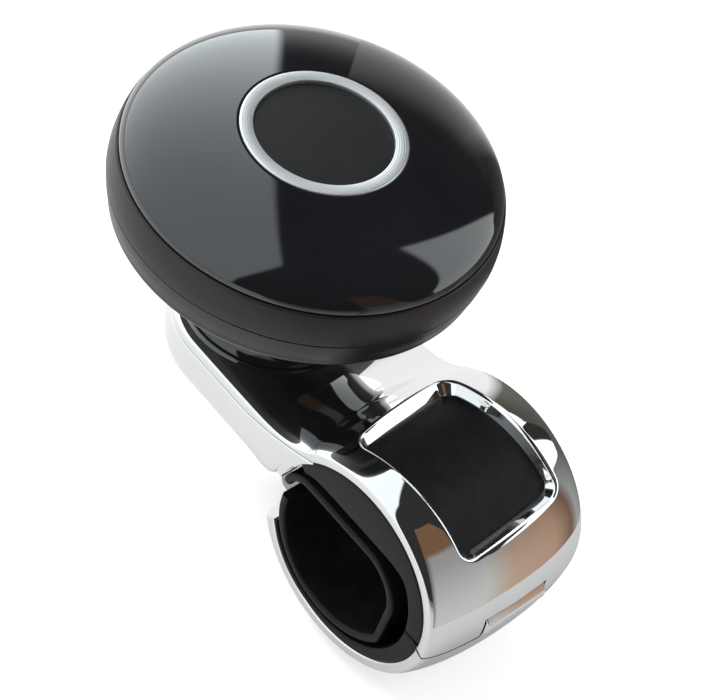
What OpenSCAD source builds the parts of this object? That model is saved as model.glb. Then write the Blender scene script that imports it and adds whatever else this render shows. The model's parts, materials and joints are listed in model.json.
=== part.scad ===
// Steering wheel spinner knob: a free-turning knob on an arm that ends in a split clamp ring.
// Y is the axis of the clamp ring, where the steering wheel rim lies. Z points up to the knob.
// The origin is the centre of the clamp ring, and the knob stands over the arm on the -X side.

/* [Clamp ring] */
// Radius of the opening in the chrome ring
seat_r = 16.1; // [15:0.1:18]
// Thickness of the chrome over the black band, halfway along the ring
chrome_t = 2.5; // [2.2:0.1:4]
// Length of the ring along the wheel rim, also the width of the arm
ring_len = 31.2; // [28:0.2:36]
// How much lower the ring is at its two ends than halfway along
ring_crown = 2.5; // [1:0.1:3]
// Share of the ring's half length over which its barrel shape rounds off
ring_edge = 0.69; // [0.3:0.02:0.9]
// Thickness of the ring's end lips
lip_t = 2.6; // [2:0.1:3.4]
// Thickness of the black band behind the chrome
band_t = 1.5; // [1:0.1:2]
// Bevel round the window, in width and in depth
window_bevel = 0.5; // [0.3:0.1:1]
// Turn of the window on the ring
window_turn = 5.5; // [0:0.5:8]
// Angle where the window starts, above the hinge side
window_from = 45.2; // [30:0.2:60]
// Angle where the window ends, next to the arm
window_to = 119.8; // [100:0.2:121]
// Width of the window along the ring
window_w = 20; // [12:0.5:22]
// Corner radius of the window
window_corner = 2.4; // [1:0.1:4]

/* [Rubber] */
// Thickness of the rubber liner, on average round its bore
liner_t = 1.9; // [1.5:0.1:2.5]
// Drop of the liner's flat roof below the top of the opening
liner_roof_drop = 6.9; // [5.6:0.1:7.5]
// Angle where the liner's upper end lies
liner_end_a = 146; // [138:1:150]
// Difference between the radii of the liner's bore and of the sleeve in it
sleeve_play = 0.8; // [0.8:0.1:1.8]
// Wall of the adaptor sleeve
sleeve_t = 1.4; // [0.8:0.1:1.6]
// Gap between the sleeve's flat roof and the liner's
sleeve_roof_gap = 2.1; // [1.6:0.1:3.3]
// Radius of the sleeve's corner next to the hinge
sleeve_corner_r = 6.5; // [5:0.1:7]

/* [Arm] */
// Distance from the ring's axis to the knob's axis
knob_offset = 39; // [37:0.5:46]
// Height of the arm's top over the ring's axis
arm_top_z = 10; // [9.6:0.1:10.6]
// Height of the seam between the arm and its cover
seam_z = 7.4; // [7:0.1:7.8]
// Height of the cover's underside
cover_bottom_z = -2.4; // [-3.4:0.1:-2]
// Radius of the hollow between arm and ring
blend_r = 16; // [10:0.5:20]
// Wall of the cover
cover_wall = 1.6; // [1.2:0.1:2]
// Crown of the arm's top
arm_crown = 1.2; // [0.6:0.1:1.4]
// Share of the arm's half width over which its crown rounds off
arm_edge = 0.2; // [0.1:0.02:0.35]

/* [Hinge and jaw] */
// Depth of the hinge pin's axis inside the ring's outer face
hinge_in = 2.1; // [1.8:0.1:2.4]
// Height of the hinge pin over the ring's axis
hinge_z = 1.2; // [0.8:0.1:1.6]
// Radius of the hinge pin
pin_r = 1; // [0.8:0.05:1.1]
// Outer radius of the hinge knuckle
knuckle_r = 2.6; // [2.4:0.1:2.8]
// Length of the jaw's knuckle
knuckle_len = 12; // [8:0.5:16]
// Angle at which the jaw ends, below the mouth
jaw_end_a = 205; // [202:1:212]
// Angle at which the mouth starts, at the arm's cover
mouth_a = 171; // [166:1:174]

/* [Clamp bolt] */
// Distance of the bolt's axis outside the ring's outer face
bolt_out = 2.4; // [2:0.1:3.4]
// Shank radius of the bolt
bolt_r = 2; // [1.5:0.25:2.5]
// Travel of the bolt as it is screwed in
bolt_travel = 3.6; // [2:0.1:3.6]
// Height of the jaw lug's upper face over the jaw's free edge
lug_rise = 0.8; // [0:0.1:1]
// Thickness of the jaw's lug
lug_t = 4; // [3:0.1:5]
// Width of the jaw's lug
lug_w = 11; // [9:0.5:14]

/* [Knob] */
// Largest radius of the knob
knob_r = 29; // [27:0.2:32]
// Height of the knob's underside
knob_bottom_z = 28.5; // [28:0.5:34]
// Height of the seam under the cap, above the knob's underside
skirt_h = 11.2; // [10.5:0.1:13]
// Height of the domed cap above its seam
dome_h = 7.1; // [6.5:0.1:9]
// Outer radius of the accent ring
accent_r = 12.1; // [11:0.1:14]
// Width of the accent ring
accent_w = 1.95; // [1:0.05:2.5]
// Radius of the neck under the knob
neck_r = 12.6; // [11:0.1:13.4]
// Radius of the neck's foot on the arm
neck_foot_r = 14.3; // [13.6:0.1:14.4]

/* [Bearing] */
// Bore radius of the bearing
bearing_bore_r = 4; // [3:0.5:4]
// Outer radius of the bearing
bearing_r = 11; // [10.5:0.25:12]
// Width of the bearing
bearing_w = 7; // [6.6:0.1:7.4]
// Number of balls
ball_n = 7; // [6:1:8]
// Radius of a ball
ball_r = 1.98; // [1.6:0.02:2]

/* [Hidden] */

eps = 0.01;
// Clearance between pieces that slide or turn on each other
run_gap = 0.3;
// Radial clearance of a pin or shaft in its bore
fit_gap = 0.04;
// Clearance of a piece that is set in its seat for good
seat_gap = 0.02;

// Length that reaches past the whole object
far = 60;

half_len = ring_len / 2;
band_r = seat_r + band_t;
shell_r = band_r + chrome_t;
band_len = ring_len - 2 * lip_t;
part_gap = run_gap / 2;
knob_x = -knob_offset;
boss_r = half_len;
hinge_x = shell_r - hinge_in;
bolt_x = shell_r + bolt_out;
lug_top_z = seat_r * sin(jaw_end_a) + lug_rise;

// Top of the arm's centre line: a flat, a hollow of blend_r, then the ring.
blend_x = -sqrt(pow(shell_r + blend_r, 2) - pow(arm_top_z + blend_r, 2));
blend_a = atan2(arm_top_z + blend_r, blend_x);

// Seam between the arm and its cover: level along the arm, then rising to the ring's opening.
rise_x = knob_x + 12;
join_a = 136;
join_x = seat_r * cos(join_a);
join_z = seat_r * sin(join_a);
function seam_height(x) = x < rise_x ? seam_z
    : seam_z + (join_z - seam_z) * pow((x - rise_x) / (join_x - rise_x), 1.6);

// Drop of the crowned surface at a share t of its half width: a gentle arch and a round edge.
// m runs from 0 on the arm to 1 on the ring.
function mix(a, b, m) = a + (b - a) * m;
function crown(t, m) =
    let (edge = mix(arm_edge, ring_edge, m), arch = mix(0.25, 0.6, m), drop = mix(arm_crown, ring_crown, m),
         e = max(0, (abs(t) - 1 + edge) / edge))
    drop * (arch * t * t + (1 - arch) * (1 - sqrt(max(0, 1 - e * e))));

// Half width of the arm in plan: parallel sides and a round end about the knob's axis.
function plan_half(x) = x >= knob_x ? boss_r
    : sqrt(max(0.01, boss_r * boss_r - (x - knob_x) * (x - knob_x)));

// Points across a section, closer together near the edges.
cross_n = 20;
function cross_t(i) = sin(-90 + 180 * i / cross_n);

// Stations along the body: [low x, low z, high x, high z, half width, m of its crown, angle of its normal].
// The low points run on into the ring's bore, which is cut afterwards.
end_n = 9;
flat_n = 4;
hollow_n = 10;
round_n = 34;
foot_in = 1.5;
function smooth(t) = t * t * (3 - 2 * t);
body_stations = concat(
    [for (i = [0 : end_n]) let (x = knob_x - boss_r * cos(90 * i / end_n))
        [x, seam_z, x, arm_top_z, plan_half(x), 0, 90]],
    [for (i = [1 : flat_n]) let (x = knob_x + (blend_x - knob_x) * i / flat_n)
        [x, seam_height(x), x, arm_top_z, half_len, 0, 90]],
    [for (i = [1 : hollow_n]) let (t = i / hollow_n, x = blend_x + (join_x + 1 - blend_x) * t,
                                   a = -90 + (blend_a - 90) * t)
        [x, seam_height(x), blend_x + blend_r * cos(a), arm_top_z + blend_r + blend_r * sin(a),
         half_len, smooth(t), a + 180]],
    [for (i = [1 : round_n]) let (t = i / round_n, a = blend_a * (1 - t), b = (join_a - 6) * (1 - t))
        [(seat_r - foot_in) * cos(b), (seat_r - foot_in) * sin(b),
         shell_r * cos(a), shell_r * sin(a), half_len, 1, a]]);

// A closed skin over sections, each a ring of points; the two ends are capped.
module skin(rings) {
    n = len(rings[0]);
    m = len(rings);
    polyhedron(
        points = [for (ring = rings) each ring],
        faces = concat(
            [[for (j = [n - 1 : -1 : 0]) j]],
            [[for (j = [0 : n - 1]) (m - 1) * n + j]],
            [for (i = [0 : m - 2], j = [0 : n - 1]) let (k = (j + 1) % n)
                each [[i * n + j, i * n + k, (i + 1) * n + k],
                      [i * n + j, (i + 1) * n + k, (i + 1) * n + j]]]),
        convexity = 8);
}

// One section of the body: across its crowned top, then back along its foot.
// At the arm's round end the crown falls away from the knob's axis on all sides.
function body_section(s) =
    let (w = s[4], out = max(0, knob_x - s[0]))
    concat(
        [for (i = [0 : cross_n])
            let (t = cross_t(i),
                 share = out > 0 ? min(1, sqrt(out * out + t * t * w * w) / boss_r) : t,
                 d = crown(share, s[5]))
            [s[2] - d * cos(s[6]), t * w, s[3] - d * sin(s[6])]],
        [[s[0], w, s[1]], [s[0], -w, s[1]]]);

module along_y(h) { rotate([90, 0, 0]) linear_extrude(h, center = true) children(); }
module rod_y(r, h, y = 0) {
    translate([0, y, 0]) rotate([90, 0, 0]) cylinder(r = r, h = h, center = true, $fn = 96);
}
module at_knob() { translate([knob_x, 0, 0]) children(); }
module at_hinge() { translate([hinge_x, 0, hinge_z]) children(); }
module ring_of(n, r) { for (i = [0 : n - 1]) rotate(360 / n * i) translate([r, 0, 0]) children(); }

// Crowned outside of the whole ring, turned about the wheel rim's axis.
module ring_barrel(r = shell_r) {
    n = 28;
    rotate([90, 0, 0]) rotate_extrude($fn = 96)
        polygon(concat([[0, -half_len]],
            [for (i = [0 : n]) let (t = sin(-90 + 180 * i / n))
                [r - crown(t, 1), half_len * t]],
            [[0, half_len]]));
}

// Stretch of the ring between two angles, as a wedge that reaches past it.
module wedge(a, b, r = far) {
    steps = 6;
    polygon(concat([[0, 0]],
        [for (i = [0 : steps]) let (c = a + (b - a) * i / steps) [r * cos(c), r * sin(c)]]));
}

// The window: a rounded rectangle wrapped round the ring, with walls that point at the ring's axis.
// Its outline, turned a little and grown by g, is a list of [angle from the middle, y].
window_mid = (window_from + window_to) / 2;
window_half = shell_r * (window_to - window_from) / 2 * PI / 180;
window_steps = 6;
window_side_n = 10;
window_y = -0.3;
function window_point(q, a, g) =
    let (s = (q == 0 || q == 3 ? 1 : -1) * (window_half - window_corner) + (window_corner + g) * cos(a),
         y = (q < 2 ? 1 : -1) * (window_w / 2 - window_corner) + (window_corner + g) * sin(a))
    [(s * cos(window_turn) + y * sin(window_turn)) * 180 / PI / shell_r,
     y * cos(window_turn) - s * sin(window_turn) + window_y];
function window_outline(g) = [for (q = [0 : 3])
    let (first = window_point(q, 90 * q + 90, g), next = window_point((q + 1) % 4, 90 * q + 90, g))
    each concat(
        [for (i = [0 : window_steps]) window_point(q, 90 * q + 90 * i / window_steps, g)],
        [for (i = [1 : window_side_n - 1]) first + (next - first) * i / window_side_n])];
// The outline on a cylinder of radius r, or flat at a distance d from the ring's axis.
function window_round(r, g) = [for (p = window_outline(g))
    [r * cos(window_mid + p[0]), p[1], r * sin(window_mid + p[0])]];
function window_flat(d, g) = [for (p = window_outline(g))
    [d * (cos(window_mid) - tan(p[0]) * sin(window_mid)), p[1],
     d * (sin(window_mid) + tan(p[0]) * cos(window_mid))]];
module window_cut() {
    over = 1;
    wide = window_bevel + over;
    skin([window_flat(seat_r / 2, 0), window_round(shell_r - window_bevel, 0),
          window_round(shell_r + over, wide), window_flat(shell_r + 2 * over, wide)]);
}

// Sizes of the spindle's fixing inside the arm
foot_z = arm_top_z - arm_crown + 0.1;
spindle_boss_r = 8.5;
spindle_boss_z = 4.4;
spindle_r = 4;
spindle_collar_r = 6.8;
spindle_collar_h = 1.6;
shoulder_r = 5.6;
washer_t = 1.2;
washer_r = 7.4;
thin_nut_t = 3.2;
spindle_nut_r = 7.5;

// Screws that hold the cover
cover_screw_at = [[knob_x - 10.6, 0], [knob_x + 6, 9.4], [knob_x + 6, -9.4]];
screw_r = 1.45;
screw_head_r = 2.6;
screw_head_t = 1.6;
screw_post_r = 2.9;
post_gap = 0.1;
screw_join_z = 2.6;
screw_top_z = 6.6;

// Captive nut of the clamp bolt
nut_r = 4.05;
nut_t = 3.2;
nut_floor_z = cover_bottom_z + cover_wall;
nut_post_r = nut_r + 1.2;
bolt_hole_r = bolt_r + 0.5;

module clamp_body() {
    color("gainsboro") difference() {
        union() {
            difference() {
                skin([for (s = body_stations) body_section(s)]);
                rod_y(band_r, band_len);
                window_cut();
                slab_below_parting();
            }
            // ears that carry the hinge pin on both sides of the jaw's knuckle
            intersection() {
                at_hinge() rod_y(knuckle_r, ring_len - 2 * ear_in);
                ring_barrel(shell_r - ear_in);
            }
            arm_bosses();
        }
        rod_y(seat_r, ring_len + 2);
        knuckle_room();
        at_hinge() rod_y(pin_r + seat_gap, 2 * (pin_half + seat_gap));
        at_knob() translate([0, 0, foot_z]) cylinder(r = neck_foot_r + seat_gap, h = 4, $fn = 96);
        at_knob() cylinder(r = spindle_r + fit_gap, h = far, $fn = 64);
        for (p = cover_screw_at) translate([p[0], p[1], 0])
            cylinder(r = screw_r + seat_gap, h = screw_top_z + 0.4, $fn = 32);
        translate([-bolt_x, 0, nut_floor_z - 1])
            cylinder(r = nut_r + seat_gap, h = nut_t + seat_gap + 1, $fn = 6);
        translate([-bolt_x, 0, 0]) cylinder(r = bolt_hole_r, h = seam_z - 1, $fn = 32);
    }
}

// Clearance for the jaw's knuckle
module knuckle_room() { at_hinge() rod_y(knuckle_r + run_gap, knuckle_len + 2 * run_gap); }

// Everything below the plane where the two halves of the ring part.
module slab_below_parting() {
    translate([0, -far / 2, part_gap - far]) cube(far);
}

// Everything above the same plane, with half of the gap on either side of it.
module slab_above_parting() {
    translate([0, -far / 2, -part_gap]) cube(far);
}

// Half length of the hinge pin, a sprung bar that snaps into a blind bore in each ear.
// How far the ears lie in.
pin_half = half_len - 4.5;
ear_in = 0.3;

// Bosses under the arm, hidden by the cover: spindle, cover screws and captive nut.
boss_root = 0.5;
module arm_bosses() {
    at_knob() translate([0, 0, spindle_boss_z])
        cylinder(r = spindle_boss_r, h = seam_z + boss_root - spindle_boss_z, $fn = 64);
    for (p = cover_screw_at) translate([p[0], p[1], screw_join_z])
        cylinder(r = screw_post_r, h = seam_z + boss_root - screw_join_z, $fn = 48);
    translate([-bolt_x, 0, nut_floor_z])
        cylinder(r = nut_post_r, h = seam_height(-bolt_x) + 0.4 - nut_floor_z, $fn = 48);
}

// Rounding of the cover's lower edge, and the fine seam that stays open above the cover
cover_edge = 2.2;
seam_gap = 0.08;
mouth_x = seat_r * cos(mouth_a);
mouth_z = seat_r * sin(mouth_a);
lip_out_x = mouth_x - 1.6;
under_x = lip_out_x - 5;
function under_z(x) = x < under_x ? cover_bottom_z
    : cover_bottom_z + (mouth_z - 0.4 - cover_bottom_z)
        * (1 - sqrt(max(0, 1 - pow((x - under_x) / (lip_out_x - under_x), 2))));
cover_xs = concat(
    [for (i = [0 : end_n]) knob_x - boss_r * cos(90 * i / end_n)],
    [knob_x + (rise_x - knob_x) / 2, rise_x],
    [for (i = [1 : 4]) rise_x + (under_x - rise_x) * i / 4],
    [for (i = [1 : 5]) under_x + (lip_out_x - under_x) * sin(18 * i)],
    [for (i = [1 : 5]) lip_out_x + (join_x - lip_out_x) * i / 5]);
function cover_low(x) = x <= lip_out_x ? under_z(x) : mouth_z - 0.4;

// Section of the cover: straight sides that round into the underside.
corner_n = 6;
function cover_section(x, low, high) =
    let (w = plan_half(x), r = min(cover_edge, 0.9 * w, high - low - 0.1))
    concat(
        [[x, -w, high], [x, w, high]],
        [for (i = [0 : corner_n]) let (a = 90 * i / corner_n)
            [x, w - r * (1 - cos(a)), low + r * (1 - sin(a))]],
        [for (i = [0 : corner_n]) let (a = 90 - 90 * i / corner_n)
            [x, -w + r * (1 - cos(a)), low + r * (1 - sin(a))]]);

hollow_x0 = knob_x - boss_r + cover_wall;
hollow_x1 = -bolt_x - nut_post_r - 1.2;
hollow_xs = [for (i = [0 : 12]) hollow_x0 + (hollow_x1 - hollow_x0) * (1 - cos(7.5 * i))];
function hollow_half(x) = x >= knob_x ? boss_r - cover_wall
    : sqrt(max(0.04, pow(boss_r - cover_wall, 2) - pow(x - knob_x, 2)));

module arm_cover() {
    color("gainsboro") difference() {
        union() {
            difference() {
                skin([for (x = cover_xs) cover_section(x, cover_low(x), seam_height(x) - seam_gap)]);
                // hollow for the spindle's nut and the screw bosses
                skin([for (x = hollow_xs) let (w = hollow_half(x))
                    [[x, -w, seam_z + 1], [x, w, seam_z + 1],
                     [x, w, nut_floor_z], [x, -w, nut_floor_z]]]);
                translate([-bolt_x, 0, nut_floor_z]) cylinder(r = nut_post_r + post_gap, h = far, $fn = 48);
            }
            for (p = cover_screw_at) translate([p[0], p[1], nut_floor_z - eps])
                cylinder(r = screw_post_r, h = screw_join_z - nut_floor_z + eps, $fn = 48);
        }
        rod_y(seat_r, ring_len + 2);
        translate([-bolt_x, 0, cover_bottom_z - 1]) cylinder(r = bolt_hole_r, h = 4, $fn = 32);
        for (p = cover_screw_at) translate([p[0], p[1], cover_bottom_z - 1]) {
            cylinder(r = screw_head_r + 0.2, h = 1.2 + screw_head_t, $fn = 48);
            cylinder(r = screw_r + 0.2, h = 12, $fn = 32);
        }
    }
}

// Pan-headed screw standing on its head at z, with a cross recess.
module screw(r, head_r, head_t, z, top) {
    difference() {
        union() {
            translate([0, 0, z]) cylinder(r = head_r, h = head_t, $fn = 48);
            translate([0, 0, z]) cylinder(r = r, h = top - z, $fn = 32);
        }
        for (a = [0, 90]) rotate(a) translate([-head_r * 0.6, -0.3, z - eps])
            cube([head_r * 1.2, 0.6, 0.9]);
    }
}

module cover_screws() {
    color("silver") for (p = cover_screw_at) translate([p[0], p[1], 0])
        screw(screw_r, screw_head_r, screw_head_t, cover_bottom_z + 0.2, screw_top_z);
}

// Ring segment between two radii and two angles, of one length.
module ring_segment(r0, r1, a0, a1, h) {
    intersection() {
        difference() {
            rod_y(r1, h);
            rod_y(r0, h + 2);
        }
        rotate([90, 0, 0]) linear_extrude(h + 2, center = true) wedge_wide(a0, a1);
    }
}
module wedge_wide(a, b) { wedge(a, (a + b) / 2); wedge((a + b) / 2, b); }

// Black band behind the chrome, seen through the window.
band_end_a = join_a - 2;
hinge_a = atan2(hinge_z, hinge_x);
module inner_band() {
    color([0.05, 0.05, 0.05]) difference() {
        ring_segment(seat_r + seat_gap, band_r - seat_gap, hinge_a, band_end_a, band_len - 2 * seat_gap);
        at_hinge() rod_y(knuckle_r + run_gap, ring_len);
    }
}

// Rubber liner, shared outline: an eccentric bore with a flat roof.
liner_shift_x = -1;
liner_shift_z = -0.7;
liner_bore_r = seat_r - liner_t;
liner_roof_z = seat_r - liner_roof_drop;
module liner_bore() {
    intersection() {
        translate([liner_shift_x, liner_shift_z]) circle(liner_bore_r, $fn = 96);
        translate([-far / 2, liner_roof_z - far]) square(far);
    }
}
module liner(a0, a1) {
    intersection() {
        along_y(ring_len) difference() {
            circle(seat_r - seat_gap, $fn = 96);
            liner_bore();
        }
        rotate([90, 0, 0]) linear_extrude(ring_len + 2, center = true) wedge_wide(a0, a1);
    }
}
module upper_liner() {
    color([0.12, 0.12, 0.12]) difference() {
        liner(0, liner_end_a);
        slab_below_parting();
        knuckle_room();
    }
}
module jaw_liner() {
    color([0.12, 0.12, 0.12]) difference() {
        liner(jaw_end_a - 360, 0);
        slab_above_parting();
        at_hinge() rod_y(knuckle_r + run_gap, ring_len + 2);
    }
}

// Adaptor sleeve: a split, flattened loop that lies in the jaw and opens at the mouth.
sleeve_shift = 0.35;
sleeve_x = liner_shift_x - sleeve_shift;
sleeve_z = liner_shift_z - sleeve_shift;
sleeve_r = liner_bore_r - sleeve_play - sleeve_t;
sleeve_roof_z = liner_roof_z - sleeve_roof_gap - sleeve_t;
function arc(cx, cz, r, a0, a1, n) = [for (i = [0 : n]) let (a = a0 + (a1 - a0) * i / n)
    [cx + r * cos(a), cz + r * sin(a)]];
sleeve_side_a = 32;
sleeve_turn_a = 6;
sleeve_corner_x = sleeve_x + sleeve_r * cos(sleeve_side_a) - sleeve_corner_r * cos(sleeve_turn_a);
sleeve_corner_z = sleeve_roof_z - sleeve_corner_r;
sleeve_tip_r = 3.4;
sleeve_tip_in = 2.75;
sleeve_tip_x = sleeve_x - sleeve_r + sleeve_tip_in;
module adaptor_sleeve() {
    t = sleeve_t;
    // Outline of the loop at a distance d outside its inner face.
    function loop(d) = concat(
        arc(sleeve_x, sleeve_z, sleeve_r + d, 176, 360 - sleeve_side_a, 26),
        arc(sleeve_corner_x, sleeve_corner_z, sleeve_corner_r + d, -sleeve_turn_a, 90, 14),
        arc(sleeve_tip_x, sleeve_roof_z - sleeve_tip_r, sleeve_tip_r + d, 90, 172, 8));
    outer = loop(t);
    inner = loop(0);
    color([0.09, 0.09, 0.09]) along_y(ring_len)
        polygon(concat(outer, [for (i = [len(inner) - 1 : -1 : 0]) inner[i]]));
}

// Turned black neck between the arm and the knob.
neck_top_z = knob_bottom_z - 0.45;
neck_bore_r = 7.4;
module neck_collar() {
    flare = 5;
    color([0.03, 0.03, 0.03]) at_knob() rotate_extrude($fn = 96)
        polygon(concat(
            [[neck_bore_r, foot_z], [neck_foot_r, foot_z], [neck_foot_r, arm_top_z + 0.5]],
            [for (i = [1 : 8]) let (a = 90 * i / 8)
                [neck_foot_r - (neck_foot_r - neck_r) * sin(a), arm_top_z + 0.5 + flare * (1 - cos(a))]],
            [[neck_r, neck_top_z - 0.6], [neck_r - 0.6, neck_top_z], [neck_bore_r, neck_top_z]]));
}

// Heights in the knob, from its underside up
floor_t = 2.2;
bearing_z = knob_bottom_z + floor_t;
bearing_top_z = bearing_z + bearing_w;
spacer_t = 1;
lock_nut_z = bearing_top_z + spacer_t;
lock_nut_r = 7.5;
seam_knob_z = knob_bottom_z + skirt_h;
spindle_end_z = lock_nut_z + thin_nut_t;
spindle_low_z = spindle_boss_z - washer_t - thin_nut_t - 0.4;

module spindle() {
    color("silver") at_knob() rotate_extrude($fn = 64) polygon([
        [0, spindle_low_z], [spindle_r - 0.5, spindle_low_z], [spindle_r, spindle_low_z + 0.5],
        [spindle_r, foot_z], [spindle_collar_r, foot_z], [spindle_collar_r, foot_z + spindle_collar_h],
        [shoulder_r, foot_z + spindle_collar_h], [shoulder_r, bearing_z],
        [bearing_bore_r - seat_gap, bearing_z], [bearing_bore_r - seat_gap, spindle_end_z - 0.5],
        [bearing_bore_r - 0.5, spindle_end_z], [0, spindle_end_z]]);
}

module spindle_washer() {
    color("silver") at_knob() translate([0, 0, spindle_boss_z - washer_t]) difference() {
        cylinder(r = washer_r, h = washer_t, $fn = 64);
        translate([0, 0, -1]) cylinder(r = spindle_r + fit_gap, h = washer_t + 2, $fn = 64);
    }
}

// Hexagon nut with a plain bore, standing at z.
module hex_nut(r, bore, t, z) {
    translate([0, 0, z]) difference() {
        cylinder(r = r, h = t, $fn = 6);
        translate([0, 0, -1]) cylinder(r = bore, h = t + 2, $fn = 64);
    }
}

module spindle_nut() {
    color("silver") at_knob() hex_nut(spindle_nut_r, spindle_r + seat_gap, thin_nut_t,
                                      spindle_boss_z - washer_t - thin_nut_t);
}
module lock_nut() {
    color("silver") at_knob() hex_nut(lock_nut_r, bearing_bore_r + seat_gap, thin_nut_t, lock_nut_z);
}
module clamp_nut() {
    color("silver") translate([-bolt_x, 0, 0]) hex_nut(nut_r, bolt_r + fit_gap, nut_t, nut_floor_z);
}
module bearing_spacer() {
    color("silver") at_knob() translate([0, 0, bearing_top_z]) difference() {
        cylinder(r = shoulder_r, h = spacer_t, $fn = 64);
        translate([0, 0, -1]) cylinder(r = bearing_bore_r + seat_gap, h = spacer_t + 2, $fn = 64);
    }
}

module hinge_pin() { color("silver") at_hinge() rod_y(pin_r, 2 * pin_half); }

// Lower half of the ring: crowned shell, lips at both ends, knuckle and bolt lug.
lug_play = 0.2;
lug_reach_x = 1.3 - seat_r;
lug_root_x = 0.8 - seat_r;
module jaw_shell() {
    color("gainsboro") difference() {
        union() {
            difference() {
                intersection() {
                    ring_barrel();
                    rotate([90, 0, 0]) linear_extrude(ring_len + 2, center = true)
                        wedge_wide(jaw_end_a - 360, 0);
                }
                slab_above_parting();
                for (s = [-1, 1])
                    at_hinge() rod_y(knuckle_r + run_gap, half_len, s * (knuckle_len + half_len) / 2);
            }
            at_hinge() rod_y(knuckle_r, knuckle_len);
            jaw_lug();
        }
        rod_y(seat_r, ring_len + 2);
        difference() {
            rod_y(band_r, band_len);
            // the knuckle and the lug keep their root
            at_hinge() rod_y(knuckle_r, knuckle_len);
            translate([-bolt_x, -lug_w / 2, lug_top_z - lug_t])
                cube([bolt_x + lug_root_x, lug_w, lug_t]);
        }
        at_hinge() rod_y(pin_r + fit_gap, knuckle_len + 2);
        translate([-bolt_x, 0, lug_top_z - lug_t - 1])
            cylinder(r = bolt_r + lug_play, h = lug_t + 2, $fn = 32);
        translate([-bolt_x, 0, lug_top_z - clip_sink]) cylinder(r = clip_r + 0.4, h = 4, $fn = 48);
    }
}
// Lug beside the mouth: round in plan about the bolt.
module jaw_lug() {
    translate([0, 0, lug_top_z - lug_t]) linear_extrude(lug_t) {
        translate([-bolt_x, 0]) circle(lug_w / 2, $fn = 48);
        translate([-bolt_x, -lug_w / 2]) square([bolt_x + lug_reach_x, lug_w]);
    }
}

// Black band in the jaw
jaw_band_from = jaw_end_a - 360 + 1;
module jaw_band() {
    color([0.05, 0.05, 0.05]) difference() {
        ring_segment(seat_r + seat_gap, band_r - seat_gap, jaw_band_from, -0.5, band_len - 2 * seat_gap);
        at_hinge() rod_y(knuckle_r + run_gap, ring_len);
        translate([-bolt_x, -lug_w / 2 - post_gap, lug_top_z - lug_t - post_gap])
            cube([bolt_x + lug_root_x + 2 * post_gap, lug_w + 2 * post_gap, lug_t + 2 * post_gap]);
    }
}

// Clamp bolt, backed out until its end clears the captive nut.
bolt_tip_z = nut_floor_z - 0.4;
clip_r = 3.2;
clip_t = 0.8;
clip_sink = 1.3;
bolt_head_r = 3.5;
bolt_head_h = 4;
bolt_head_z = lug_top_z - lug_t - bolt_travel - 0.2;
socket_r = 1.75;
clip_groove = 0.4;
module clamp_bolt() {
    color("silver") translate([-bolt_x, 0, 0]) difference() {
        union() {
            translate([0, 0, bolt_head_z - bolt_head_h])
                cylinder(r = bolt_head_r, h = bolt_head_h, $fn = 48);
            translate([0, 0, bolt_head_z - 1])
                cylinder(r = bolt_r, h = bolt_tip_z - bolt_head_z + 1, $fn = 32);
        }
        translate([0, 0, bolt_head_z - bolt_head_h - 1]) cylinder(r = socket_r, h = 3.2, $fn = 6);
        translate([0, 0, clip_z]) difference() {
            cylinder(r = bolt_r + 1, h = clip_t, $fn = 32);
            cylinder(r = bolt_r - clip_groove, h = clip_t, $fn = 32);
        }
    }
}
clip_z = lug_top_z - clip_sink + 0.15;
module bolt_clip() {
    color("dimgray") translate([-bolt_x, 0, clip_z + seat_gap])
        linear_extrude(clip_t - 2 * seat_gap) difference() {
            circle(clip_r, $fn = 48);
            circle(bolt_r - clip_groove + seat_gap, $fn = 32);
            translate([0, -1]) square([clip_r + 1, 2]);
        }
}

// Outside of the skirt, from the underside up to the seam under the cap.
skirt_edge = 1.9;
crease_share = 0.52;
lip_in = 0.75;
function skirt_outline() = let (z0 = knob_bottom_z, h = skirt_h, r = knob_r)
    concat(
        [for (i = [0 : 6]) let (a = 90 * i / 6)
            [r - 0.85 - skirt_edge + skirt_edge * sin(a), z0 + skirt_edge * (1 - cos(a))]],
        [[r - 0.4, z0 + 0.34 * h], [r - 0.12, z0 + (crease_share - 0.02) * h],
         [r - 0.28, z0 + crease_share * h], [r - 0.05, z0 + (crease_share + 0.03) * h]],
        [for (i = [1 : 6]) let (t = i / 6)
            [r - lip_in * t * t, z0 + h * (crease_share + 0.03 + (0.97 - crease_share - 0.05) * t)]],
        [[r - lip_in - 0.25, z0 + h]]);

cap_r = knob_r - 1.1;
cap_t = 2;
cap_seat_r = cap_r - 0.9;
spigot_r = cap_seat_r - 1.5;
skirt_wall_r = spigot_r + 0.05;
spigot_h = 2.4;
knob_screw_at_r = 19;
knob_screw_n = 3;
knob_post_z = knob_bottom_z + 5.5;
knob_screw_head_z = knob_bottom_z + 0.2;
knob_screw_top_z = knob_post_z + 6;
seat_tube_t = 2.2;
race_ledge_r = bearing_r - 1.6;

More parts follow.
